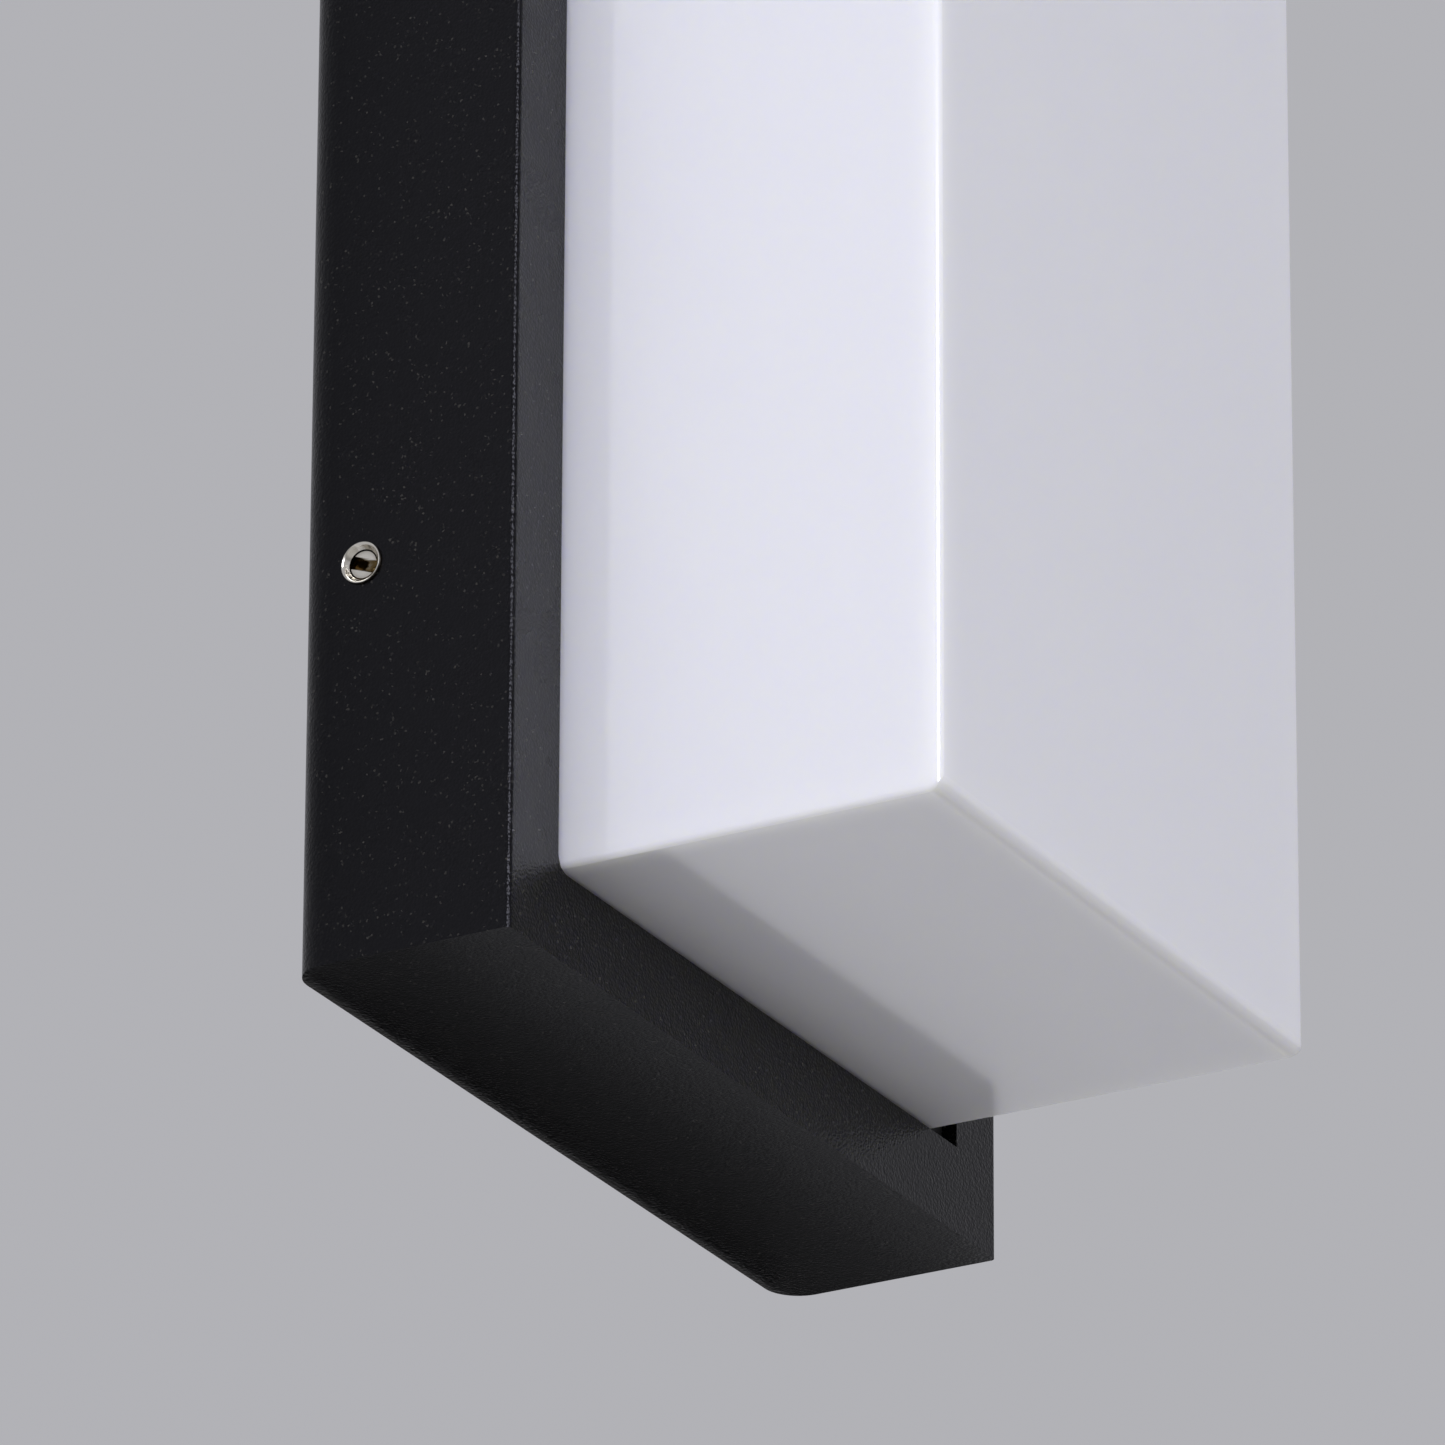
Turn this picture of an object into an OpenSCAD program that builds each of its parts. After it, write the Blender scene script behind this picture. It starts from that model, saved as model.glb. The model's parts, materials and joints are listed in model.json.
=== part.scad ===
// Outdoor wall lantern: a black die-cast housing on a hidden wall bracket, with a box-shaped opal
// diffuser pushed into its front. X runs along the wall, +Y points into the wall and +Z is up.
// The origin is the centre of the bracket's four fixing slots, on the wall's surface.

/* [Housing] */
// Width of the housing along the wall
housing_w = 130; // [124:1:150]
// Height of the housing
housing_h = 260; // [250:5:400]
// Depth of the housing from the wall to its front face
housing_d = 32; // [31:0.5:40]
// Radius of the rear upright edges
rear_edge_r = 5; // [3:0.5:5]
// Radius of the front upright edges
front_edge_r = 0.8; // [0.4:0.2:1.4]
// Thickness of the casting's front and side walls
wall_t = 2.2; // [1.8:0.1:2.4]

/* [Diffuser] */
// Width of the bare strip of housing left of the diffuser
left_strip = 12.5; // [12:0.5:14]
// Width of the diffuser
diffuser_w = 100.5; // [98:0.5:101]
// Height of the strip of housing above and below the diffuser
end_strip = 12.5; // [12:0.5:16]
// How far the diffuser stands out of the housing's front face
diffuser_proud = 54; // [40:1:70]
// Wall thickness of the diffuser
diffuser_t = 2.5; // [2:0.1:3]
// Corner radius of the diffuser, seen from the front
diffuser_r = 2; // [1:0.1:5]
// Play between the diffuser and the housing's window
window_play = 0.4; // [0.3:0.1:0.6]
// Width of the release notch beside the diffuser's lower right corner
notch_w = 5.5; // [4:0.5:6]
// Height of the release notch
notch_h = 10; // [6:1:14]

/* [Side screws] */
// Height of the side screws above the housing's lower end
screw_up = 54; // [50:0.5:60]
// Distance of the side screws from the wall
screw_out = 9.9; // [9:0.1:11]
// Diameter of the slotted set screws
screw_d = 4; // [3:0.5:4]
// Diameter of the flange on the bushes that the set screws turn in
bush_flange_d = 5.7; // [5.5:0.1:7]

/* [Wall bracket] */
// Distance between the fixing slots along the wall
fix_x = 60; // [60:1:64]
// Distance between the fixing slots up the wall
fix_z = 120; // [110:1:130]
// Width of a fixing slot
slot_w = 5.5; // [4.5:0.5:6]
// End-to-end length of a fixing slot
slot_l = 10; // [8:0.5:12]
// Thickness of the bracket's sheet steel
sheet_t = 1.5; // [1.2:0.1:2]
// Diameter of the supply cable's way through the grommet
cable_d = 8; // [6:0.5:9]

/* [Light source] */
// Number of LED columns
led_columns = 3; // [2:1:4]
// Number of LED rows
led_rows = 10; // [6:1:12]

/* [Hidden] */
$fn = 48;
eps = 0.01;

// Housing
half_w = housing_w / 2;
half_h = housing_h / 2;
end_wall_t = 2.5;
inner_x = half_w - wall_t;          // inside face of the side walls
inner_z = half_h - end_wall_t;      // inside face of the end walls
front_y = -housing_d;               // front face
inner_front_y = front_y + wall_t;   // inside face of the front wall
rim_d = 4;                          // depth of the thick rear rim
rim_x = 54;                         // half width of the opening in the rear rim
rim_z = half_h - 7;                 // half height of that opening
gasket_w = 3;
gasket_d = 2;
gasket_x = rim_x + 1.5;             // inner edge of the gasket's groove at the sides
gasket_z = rim_z + 1.5;             // and at the ends

// Diffuser and window
diffuser_h = housing_h - 2 * end_strip;
diffuser_x = -half_w + left_strip + diffuser_w / 2;   // centre of the diffuser
diffuser_front_y = front_y - diffuser_proud;
inner_corner_r = 0.5;               // least radius of the diffuser's inside corners
plate_t = 1.5;
plate_front_y = -24;
plate_rear_y = plate_front_y + plate_t;
skirt_end_y = plate_front_y - 0.3;                    // rear edge of the diffuser's skirt
window_w = diffuser_w + 2 * window_play;
window_h = diffuser_h + 2 * window_play;
window_left = diffuser_x - window_w / 2;
window_right = diffuser_x + window_w / 2;
window_low = -window_h / 2;
seal_t = 3;
seal_play = 0.15;
seal_margin = 3.5;                  // seal beyond the window at the left and at both ends
seal_right_margin = notch_w + 1.1;  // wider at the right, to back the release notch

// Gear plate bosses
boss_r = 3;
left_boss_x = -inner_x + boss_r;
right_boss_x = inner_x - boss_r - 1.3;
boss_rows = [-1, 0, 1] * (half_h - 18);
m3_r = 1.5;
m3_hole_r = 1.6;
m3_head_r = 2.8;
m3_head_h = 1.8;

// Side screws and their bushes
screw_z = -half_h + screw_up;
screw_r = screw_d / 2;
thread_play = 0.05;
bush_r = screw_r + 0.6;
bush_flange_t = 0.5;
bush_l = 8;
mouth_d = 0.8;                      // countersunk mouth of a bush
mouth_rim = 0.15;                   // flat rim left round the mouth
screw_boss_r = 5;
screw_sunk = 0.9;                   // head face below the flange's outer face
tab_outer_x = rim_x - 1;            // outer face of the bracket's side tabs
tip_gap = 0.2;

// Wall bracket
bracket_half_w = 40;
bracket_top = rim_z - 3.6;
bracket_low = screw_z - 10;
tab_h = 16;
tab_d = 15.5;
tongue_w = 30;
tongue_d = 17;
cable_z = -45;
dish_r = 13;
dish_d = 2;
grommet_groove_r = 7;
grommet_flange_r = 9.5;
earth_x = 27;
earth_z = -38;

// LED board
board_t = 1.6;
board_w = 79.5;
board_h = 210;
board_front_y = plate_front_y - board_t;
led_pitch_x = 26;
led_pitch_z = 21;
board_screw_x = 36;
board_screw_z = 98;

// LED driver
driver_w = 50;
driver_h = 100;
driver_low = -20;
driver_high = driver_low + driver_h;
driver_t = 1.6;
driver_rear_y = -4.5;
ear_w = 16;
ear_h = 8;
ear_t = 2;

// Terminal block
pole_pitch = 12;
terminal_low = -104;
terminal_h = 20;
terminal_d = 14;
terminal_high = terminal_low + terminal_h;

// Leads
lead_r = 1;
led_lead_x = 12;
led_lead_pitch = 2.6;
lead_hole_z = 106;
lead_hole_r = 5;
lead_y = -14;
terminal_lead_y = lead_y - 2;       // leads in the terminal block's poles
blue_lead_y = lead_y + 2;
brown_x = -43;                      // upright runs beside the driver
blue_x = -40;
crossing_z = -77;                   // level at which the mains leads cross to the left
brown_in_z = -6;                    // where they enter the driver
blue_in_z = -12;
lug_x = 20;                         // earth lug on the gear plate
lug_z = -66;
lug_r = 3.6;
lug_t = 1;

// LED connector
connector_low = 88;
connector_h = 8;
connector_w = 10;
connector_d = 4.5;

// Driver parts: x, z, radius and height of each capacitor, and the transformer's coil and flanges
capacitors = [[-12, -4, 5, 10.5], [10, -2, 4, 9.5], [14, 62, 4, 10], [-12, 60, 5, 10.5]];
coil_w = 12;
coil_h = 18;
flange_w = 18;
flange_h = 22;
flange_t = 3;
transformer_d = 11;
transformer_z = 29;

// ---------- shared shapes ----------

// Rectangle with rounded corners, centred on the origin.
module rounded_rect(w, h, r) {
    square([w - 2 * r, h], center = true);
    square([w, h - 2 * r], center = true);
    for (sx = [-1, 1], sy = [-1, 1])
        translate([sx * (w / 2 - r), sy * (h / 2 - r)]) circle(r);
}

// Plan of the housing: crisp corners at the front, round ones against the wall.
module housing_plan() {
    translate([-half_w, front_y + front_edge_r])
        square([housing_w, housing_d - front_edge_r - rear_edge_r]);
    translate([-half_w + front_edge_r, front_y])
        square([housing_w - 2 * front_edge_r, housing_d / 2]);
    translate([-half_w + rear_edge_r, -housing_d / 2])
        square([housing_w - 2 * rear_edge_r, housing_d / 2]);
    for (s = [-1, 1]) {
        translate([s * (half_w - front_edge_r), front_y + front_edge_r]) circle(front_edge_r);
        translate([s * (half_w - rear_edge_r), -rear_edge_r]) circle(rear_edge_r);
    }
}

// A flat outline in X and Z, given thickness from y_front back to y_rear.
module slab(y_front, y_rear) {
    translate([0, y_rear, 0]) rotate([90, 0, 0]) linear_extrude(y_rear - y_front) children();
}

// A block from one corner to the opposite one.
module block(low, high) {
    translate(low) cube(high - low);
}

// A round bar along Y.
module rod_y(x, z, r, y_front, y_rear) {
    translate([x, y_rear, z]) rotate([90, 0, 0]) cylinder(r = r, h = y_rear - y_front);
}

// A round bar along X.
module rod_x(x_low, x_high, y, z, r) {
    translate([x_low, y, z]) rotate([0, 90, 0]) cylinder(r = r, h = x_high - x_low);
}

// A fixing slot through the bracket, with round ends.
module fixing_slot(x, z) {
    translate([x, 0, z]) slab(-sheet_t - 1, 1) {
        square([slot_l - slot_w, slot_w], center = true);
        for (s = [-1, 1]) translate([s * (slot_l - slot_w) / 2, 0]) circle(slot_w / 2);
    }
}

// A pan head screw along Y. Its head stands on seat_y, to the front when side is -1.
module pan_screw(x, z, seat_y, length, side, head_r = m3_head_r) {
    head_y = seat_y + side * m3_head_h;
    tip_y = seat_y - side * length;
    difference() {
        union() {
            rod_y(x, z, head_r, min(seat_y, head_y), max(seat_y, head_y));
            rod_y(x, z, m3_r, min(seat_y, tip_y), max(seat_y, tip_y));
        }
        cross_recess(x, z, head_y, side);
    }
}

// The cross recess in a screw's head.
module cross_recess(x, z, head_y, side) {
    for (turn = [0, 90])
        translate([x, head_y, z]) rotate([0, turn, 0]) cube([2.6, 2, 0.6], center = true);
}

// One insulated lead along a list of corner points, a little fuller at each bend.
module lead(points) {
    for (i = [0 : len(points) - 2]) {
        step = points[i + 1] - points[i];
        run = norm(step);
        translate(points[i])
            rotate([0, acos(step[2] / run), atan2(step[1], step[0])])
                cylinder(r = lead_r, h = run, $fn = 24);
    }
    for (i = [1 : len(points) - 2]) translate(points[i]) sphere(lead_r * 1.15, $fn = 24);
}

// ---------- wall bracket ----------

module wall_bracket() color("gainsboro") difference() {
    union() {
        block([-bracket_half_w, -sheet_t, bracket_low], [bracket_half_w, 0, bracket_top]);
        block([-tab_outer_x, -sheet_t, screw_z - tab_h / 2], [tab_outer_x, 0, screw_z + tab_h / 2]);
        for (s = [-1, 1]) mirror([s < 0 ? 1 : 0, 0, 0])
            block([tab_outer_x - sheet_t, -tab_d, screw_z - tab_h / 2],
                  [tab_outer_x, 0, screw_z + tab_h / 2]);
        block([-tongue_w / 2, -tongue_d, bracket_top - sheet_t], [tongue_w / 2, 0, bracket_top]);
        rod_y(0, cable_z, dish_r + sheet_t, -dish_d - sheet_t, 0);
    }
    rod_y(0, cable_z, dish_r, -dish_d, 1);
    rod_y(0, cable_z, grommet_groove_r, -dish_d - sheet_t - 1, 1);
    for (x = [-1, 1] * fix_x / 2, z = [-1, 1] * fix_z / 2) fixing_slot(x, z);
    rod_y(earth_x, earth_z, 2.1, -sheet_t - 1, 1);
}

module cable_grommet() color("dimgray") difference() {
    union() {
        rod_y(0, cable_z, grommet_groove_r, -dish_d - sheet_t - 1.5, -0.5);
        rod_y(0, cable_z, grommet_flange_r, -dish_d, -0.5);
        rod_y(0, cable_z, grommet_flange_r, -dish_d - sheet_t - 1.5, -dish_d - sheet_t);
    }
    rod_y(0, cable_z, cable_d / 2, -10, 1);
}

module earth_screw() color("goldenrod") difference() {
    union() {
        rod_y(earth_x, earth_z, 2, -sheet_t - 1, 0);
        rod_y(earth_x, earth_z, 3.8, -sheet_t - 3.4, -sheet_t - 0.8);
    }
    cross_recess(earth_x, earth_z, -sheet_t - 3.4, -1);
}

module earth_washer() color("silver") difference() {
    rod_y(earth_x, earth_z, 4.6, -sheet_t - 0.8, -sheet_t);
    rod_y(earth_x, earth_z, 2.1, -sheet_t - 2, 0);
}

// ---------- housing ----------

module housing() color([0.12, 0.12, 0.13]) difference() {
    union() {
        difference() {
            translate([0, 0, -half_h]) linear_extrude(housing_h) housing_plan();
            block([-inner_x, inner_front_y, -inner_z], [inner_x, -rim_d, inner_z]);
            block([-rim_x, -rim_d - 1, -rim_z], [rim_x, 1, rim_z]);
            gasket_frame(-gasket_d, 1);
            translate([diffuser_x, 0, 0]) slab(front_y - 1, inner_front_y + 1)
                rounded_rect(window_w, window_h, diffuser_r + window_play);
            block([window_right - diffuser_r - 1, front_y - 1, window_low],
                  [window_right + notch_w, inner_front_y + 1, window_low + notch_h]);
        }
        for (x = [left_boss_x, right_boss_x], z = boss_rows)
            rod_y(x, z, boss_r, inner_front_y - eps, plate_front_y);
        for (s = [-1, 1]) mirror([s < 0 ? 1 : 0, 0, 0])
            rod_x(tab_outer_x + 0.4, inner_x + eps, -screw_out, screw_z, screw_boss_r);
        tongue_pocket();
    }
    for (x = [left_boss_x, right_boss_x], z = boss_rows)
        rod_y(x, z, m3_hole_r, inner_front_y, plate_front_y + 1);
    for (s = [-1, 1]) mirror([s < 0 ? 1 : 0, 0, 0])
        rod_x(tab_outer_x, half_w + 1, -screw_out, screw_z, bush_r);
}

// The block under the top wall whose slot the bracket's tongue enters.
module tongue_pocket() {
    slot_low = bracket_top - sheet_t - 0.4;
    difference() {
        block([-tongue_w / 2 - 6, -20, slot_low - 4], [tongue_w / 2 + 6, -8, inner_z + eps]);
        block([-tongue_w / 2 - 0.5, -21, slot_low], [tongue_w / 2 + 0.5, -7, bracket_top + 0.5]);
    }
}

// The frame that the groove in the rim and its gasket share.
module gasket_frame(y_front, y_rear) {
    difference() {
        slab(y_front, y_rear)
            square([2 * (gasket_x + gasket_w), 2 * (gasket_z + gasket_w)], center = true);
        slab(y_front - 1, y_rear + 1) square([2 * gasket_x, 2 * gasket_z], center = true);
    }
}

module wall_gasket() color("dimgray") gasket_frame(-gasket_d, 0);

module diffuser_seal() color([0.05, 0.05, 0.05]) difference() {
    block([window_left - seal_margin, inner_front_y, window_low - seal_margin],
          [window_right + seal_right_margin, inner_front_y + seal_t, -window_low + seal_margin]);
    translate([diffuser_x, 0, 0]) slab(inner_front_y - 1, inner_front_y + seal_t + 1)
        rounded_rect(diffuser_w + 2 * seal_play, diffuser_h + 2 * seal_play, diffuser_r + seal_play);
}

module screw_bushes() color("lightgray") for (s = [-1, 1]) mirror([s < 0 ? 1 : 0, 0, 0])
    difference() {
        union() {
            rod_x(half_w - bush_l, half_w + bush_flange_t, -screw_out, screw_z, bush_r);
            rod_x(half_w, half_w + bush_flange_t, -screw_out, screw_z, bush_flange_d / 2);
        }
        rod_x(half_w - bush_l - 1, half_w + 1, -screw_out, screw_z, screw_r + thread_play);
        translate([half_w + bush_flange_t - mouth_d, -screw_out, screw_z]) rotate([0, 90, 0])
            cylinder(r1 = screw_r + thread_play, r2 = bush_flange_d / 2 - mouth_rim, h = mouth_d + eps);
    }

// ---------- gear plate and light source ----------

module gear_plate() color("whitesmoke") difference() {
    block([-inner_x + 0.8, plate_front_y, -inner_z + 1.5],
          [inner_x - 0.8, plate_rear_y, inner_z - 1.5]);
    for (x = [left_boss_x, right_boss_x], z = boss_rows)
        rod_y(x, z, m3_hole_r, plate_front_y - 1, plate_rear_y + 1);
    for (x = [-1, 1] * board_screw_x, z = [-1, 1] * board_screw_z)
        rod_y(diffuser_x + x, z, m3_hole_r, plate_front_y - 1, plate_rear_y + 1);
    for (z = [driver_low - ear_h / 2, driver_high + ear_h / 2, terminal_low + terminal_h / 2])
        rod_y(0, z, m3_hole_r, plate_front_y - 1, plate_rear_y + 1);
    rod_y(led_lead_x, lead_hole_z, lead_hole_r, plate_front_y - 1, plate_rear_y + 1);
    rod_y(lug_x, lug_z, m3_hole_r, plate_front_y - 1, plate_rear_y + 1);
    for (x = clip_xs(), z = clip_rows())
        rod_y(x, z, 1.3, plate_front_y - 1, plate_rear_y + 1);
}

module gear_plate_screws() color("silver")
    for (x = [left_boss_x, right_boss_x], z = boss_rows)
        pan_screw(x, z, plate_rear_y, 6, 1, 2.7);

module plate_grommet() color("dimgray") difference() {
    union() {
        rod_y(led_lead_x, lead_hole_z, lead_hole_r, plate_front_y - 1.2, plate_rear_y + 1.2);
        rod_y(led_lead_x, lead_hole_z, lead_hole_r + 1.2, plate_front_y - 1.2, plate_front_y);
        rod_y(led_lead_x, lead_hole_z, lead_hole_r + 1.2, plate_rear_y, plate_rear_y + 1.2);
    }
    rod_y(led_lead_x, lead_hole_z, lead_hole_r - 1.6, plate_front_y - 2, plate_rear_y + 2);
}

module led_board() color("white") difference() {
    block([diffuser_x - board_w / 2, board_front_y, -board_h / 2],
          [diffuser_x + board_w / 2, plate_front_y, board_h / 2]);
    for (x = [-1, 1] * board_screw_x, z = [-1, 1] * board_screw_z)
        rod_y(diffuser_x + x, z, m3_hole_r, board_front_y - 1, plate_front_y + 1);
    rod_y(led_lead_x, lead_hole_z, lead_hole_r + 3, board_front_y - 1, plate_front_y + 1);
}

module led_chips() color("khaki")
    for (i = [0 : led_columns - 1], j = [0 : led_rows - 1])
        translate([diffuser_x + (i - (led_columns - 1) / 2) * led_pitch_x, board_front_y - 0.4,
                   (j - (led_rows - 1) / 2) * led_pitch_z])
            cube([3.5, 0.8, 2.8], center = true);

module led_board_screws() color("silver")
    for (x = [-1, 1] * board_screw_x, z = [-1, 1] * board_screw_z)
        pan_screw(diffuser_x + x, z, board_front_y, 4.5, -1, 2.7);

module led_connector() color("white") difference() {
    block([led_lead_x - connector_w / 2, board_front_y - connector_d, connector_low],
          [led_lead_x + connector_w / 2, board_front_y, connector_low + connector_h]);
    for (s = [-1, 1])
        block([led_lead_x + s * 2.2 - 1.2, board_front_y - connector_d - 1, connector_low + 2],
              [led_lead_x + s * 2.2 + 1.2, board_front_y - connector_d + 1, connector_low + 4]);
}

// ---------- springs that hold the diffuser's skirt ----------

function clip_rows() = [-60, 60];
function clip_xs() = [diffuser_x - diffuser_w / 2 + diffuser_t + 3.8,
                      diffuser_x + diffuser_w / 2 - diffuser_t - 3.8];

module diffuser_clips() color("silver")
    for (s = [-1, 1], z = clip_rows()) translate([diffuser_x, 0, z]) mirror([s < 0 ? 1 : 0, 0, 0])
        difference() {
            union() {
                block([clip_reach - 7, plate_front_y - 0.6, -5], [clip_reach, plate_front_y, 5]);
                block([clip_reach - 0.6, plate_front_y - 14, -5], [clip_reach, plate_front_y, 5]);
                translate([clip_reach - 0.8, plate_front_y - 14, -5]) cylinder(r = 0.8, h = 10);
            }
            rod_y(clip_reach - 3.65, 0, 1.3, plate_front_y - 2, plate_front_y + 1);
        }
clip_reach = diffuser_w / 2 - diffuser_t - seal_play;

module clip_rivets() color("gray") for (x = clip_xs(), z = clip_rows()) {
    rod_y(x, z, 1.2, plate_front_y - 0.6, plate_rear_y);
    rod_y(x, z, 2, plate_front_y - 1.4, plate_front_y - 0.6);
    rod_y(x, z, 2, plate_rear_y, plate_rear_y + 0.8);
}

// ---------- LED driver ----------

module driver_case() color("white") difference() {
    union() {
        block([-driver_w / 2, plate_rear_y, driver_low],
              [driver_w / 2, driver_rear_y - driver_t, driver_high]);
        block([-ear_w / 2, plate_rear_y, driver_low - ear_h],
              [ear_w / 2, plate_rear_y + ear_t, driver_high + ear_h]);
    }
    block([-driver_w / 2 + driver_t, plate_rear_y + driver_t, driver_low + driver_t],
          [driver_w / 2 - driver_t, driver_rear_y, driver_high - driver_t]);
    for (z = [driver_low - ear_h / 2, driver_high + ear_h / 2])
        rod_y(0, z, m3_hole_r, plate_rear_y - 1, plate_rear_y + ear_t + 1);
}

module driver_lid() color("gainsboro")
    block([-driver_w / 2, driver_rear_y - driver_t, driver_low],
          [driver_w / 2, driver_rear_y, driver_high]);

driver_floor_y = plate_rear_y + driver_t;
module driver_board() color("green")
    block([-driver_w / 2 + driver_t + 0.5, driver_floor_y, driver_low + driver_t + 0.5],
          [driver_w / 2 - driver_t - 0.5, driver_floor_y + board_t, driver_high - driver_t - 0.5]);

module driver_transformer() color("gold") translate([0, driver_floor_y + board_t, transformer_z]) {
    for (y = [0, transformer_d - flange_t])
        block([-flange_w / 2, y, -flange_h / 2], [flange_w / 2, y + flange_t, flange_h / 2]);
    block([-coil_w / 2, 0, -coil_h / 2], [coil_w / 2, transformer_d - eps, coil_h / 2]);
}

module driver_capacitors() color("slategray") {
    y = driver_floor_y + board_t;
    for (part = capacitors) rod_y(part[0], part[1], part[2], y, y + part[3]);
}

module driver_screws() color("silver")
    for (z = [driver_low - ear_h / 2, driver_high + ear_h / 2])
        pan_screw(0, z, plate_rear_y + ear_t, ear_t + plate_t, 1, 2.7);

// ---------- terminal block ----------

terminal_rear_y = plate_rear_y + terminal_d;
poles = [-1, 0, 1] * pole_pitch;

module terminal_block() color("ivory") difference() {
    block([-1.5 * pole_pitch, plate_rear_y, terminal_low],
          [1.5 * pole_pitch, terminal_rear_y, terminal_high]);
    for (x = poles) {
        translate([x, lead_y - 2, terminal_low - 1]) cylinder(r = 1.8, h = terminal_h + 2);
        for (z = [terminal_low + 5, terminal_high - 5])
            rod_y(x, z, 2.3, terminal_rear_y - 6, terminal_rear_y + 1);
    }
    for (x = [-1, 1] * pole_pitch / 2)
        block([x - 1, terminal_rear_y - 3, terminal_low - 1], [x + 1, terminal_rear_y + 1, terminal_high + 1]);
    rod_y(0, terminal_low + terminal_h / 2, m3_hole_r, plate_rear_y - 1, plate_rear_y + 4);
}

module terminal_screws() color("silver")
    for (x = poles, z = [terminal_low + 5, terminal_high - 5]) difference() {
        rod_y(x, z, 2.1, terminal_rear_y - 6, terminal_rear_y - 1.5);
        translate([x, terminal_rear_y - 1.5, z]) cube([5, 1.6, 0.7], center = true);
    }

module terminal_fixing() color("silver") {
    z = terminal_low + terminal_h / 2;
    rod_y(0, z, m3_r, plate_front_y, plate_rear_y + 4);
}

// ---------- leads inside the lamp ----------

module mains_leads() {
    color("saddlebrown") lead([
        [-pole_pitch, terminal_lead_y, terminal_high - 3], [-pole_pitch, terminal_lead_y, crossing_z],
        [brown_x, terminal_lead_y, crossing_z], [brown_x, terminal_lead_y, brown_in_z],
        [-driver_w / 2, terminal_lead_y, brown_in_z]]);
    color("royalblue") lead([
        [pole_pitch, terminal_lead_y, terminal_high - 3], [pole_pitch, terminal_lead_y, crossing_z - 4],
        [pole_pitch, blue_lead_y, crossing_z], [blue_x, blue_lead_y, crossing_z],
        [blue_x, blue_lead_y, blue_in_z], [-driver_w / 2, blue_lead_y, blue_in_z]]);
}

module led_leads() for (s = [-1, 1]) color(s < 0 ? "black" : "red") {
    x = led_lead_x + s * led_lead_pitch / 2;
    lead([[x, lead_y, driver_high], [x, lead_y, lead_hole_z], [x, board_front_y - 2.2, lead_hole_z],
          [x, board_front_y - 2.2, connector_low + connector_h]]);
}

module earth_lead() color("yellowgreen") {
    crimp_y = plate_rear_y + 1.2;
    lead([[0, terminal_lead_y, terminal_high - 3], [0, terminal_lead_y, lug_z - 8],
          [lug_x, terminal_lead_y, lug_z - 8], [lug_x, crimp_y, lug_z - 8], [lug_x, crimp_y, lug_z - 3]]);
    difference() {
        rod_y(lug_x, lug_z, lug_r, plate_rear_y, plate_rear_y + lug_t);
        rod_y(lug_x, lug_z, m3_hole_r, plate_rear_y - 1, plate_rear_y + lug_t + 1);
    }
}

module plate_earth_screw() color("goldenrod")
    pan_screw(lug_x, lug_z, plate_rear_y + lug_t, plate_t + lug_t, 1);

// ---------- diffuser ----------

module diffuser() color([0.93, 0.94, 0.98]) translate([diffuser_x, 0, 0]) difference() {
    slab(diffuser_front_y, skirt_end_y) rounded_rect(diffuser_w, diffuser_h, diffuser_r);
    slab(diffuser_front_y + diffuser_t, skirt_end_y + 1)
        rounded_rect(diffuser_w - 2 * diffuser_t, diffuser_h - 2 * diffuser_t,
                     max(diffuser_r - diffuser_t, inner_corner_r));
}

// ---------- side screws ----------

// Slotted set screw on the right; the left one is its mirror image.
module set_screw() color("silver") difference() {
    rod_x(tab_outer_x + tip_gap, half_w + bush_flange_t - screw_sunk, -screw_out, screw_z, screw_r);
    translate([half_w + bush_flange_t - screw_sunk, -screw_out, screw_z])
        rotate([20, 0, 0]) cube([2.4, 2 * screw_d, 0.7], center = true);
}

module right_set_screw() set_screw();
module left_set_screw() mirror([1, 0, 0]) set_screw();

wall_bracket();
cable_grommet();
earth_screw();
earth_washer();
housing();
wall_gasket();
diffuser_seal();
screw_bushes();
gear_plate();
gear_plate_screws();
plate_grommet();
led_board();
led_chips();
led_board_screws();
led_connector();
diffuser_clips();
clip_rivets();
driver_case();
driver_lid();
driver_board();
driver_transformer();
driver_capacitors();
driver_screws();
terminal_block();
terminal_screws();
terminal_fixing();
mains_leads();
led_leads();
earth_lead();
plate_earth_screw();
diffuser();
left_set_screw();
right_set_screw();
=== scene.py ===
"""Looks of the outdoor wall lantern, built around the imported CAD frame. Lengths are in metres."""
import bmesh
import bpy
import json
import math
from mathutils import Matrix, Vector


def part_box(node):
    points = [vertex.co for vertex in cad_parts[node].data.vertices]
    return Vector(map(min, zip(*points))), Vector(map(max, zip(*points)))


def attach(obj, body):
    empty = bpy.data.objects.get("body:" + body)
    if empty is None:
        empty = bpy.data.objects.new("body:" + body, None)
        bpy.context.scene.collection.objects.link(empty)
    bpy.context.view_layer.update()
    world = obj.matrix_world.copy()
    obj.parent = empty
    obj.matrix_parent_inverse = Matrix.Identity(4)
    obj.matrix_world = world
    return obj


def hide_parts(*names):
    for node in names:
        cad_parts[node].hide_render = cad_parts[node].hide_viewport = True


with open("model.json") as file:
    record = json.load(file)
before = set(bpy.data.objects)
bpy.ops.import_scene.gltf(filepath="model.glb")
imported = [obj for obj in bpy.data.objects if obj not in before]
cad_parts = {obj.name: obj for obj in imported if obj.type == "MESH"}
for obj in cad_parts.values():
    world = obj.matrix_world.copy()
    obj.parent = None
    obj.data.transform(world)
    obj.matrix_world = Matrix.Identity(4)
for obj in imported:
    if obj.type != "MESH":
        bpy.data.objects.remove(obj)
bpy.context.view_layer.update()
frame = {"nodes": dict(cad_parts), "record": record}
NODES = frame["nodes"]
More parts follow.
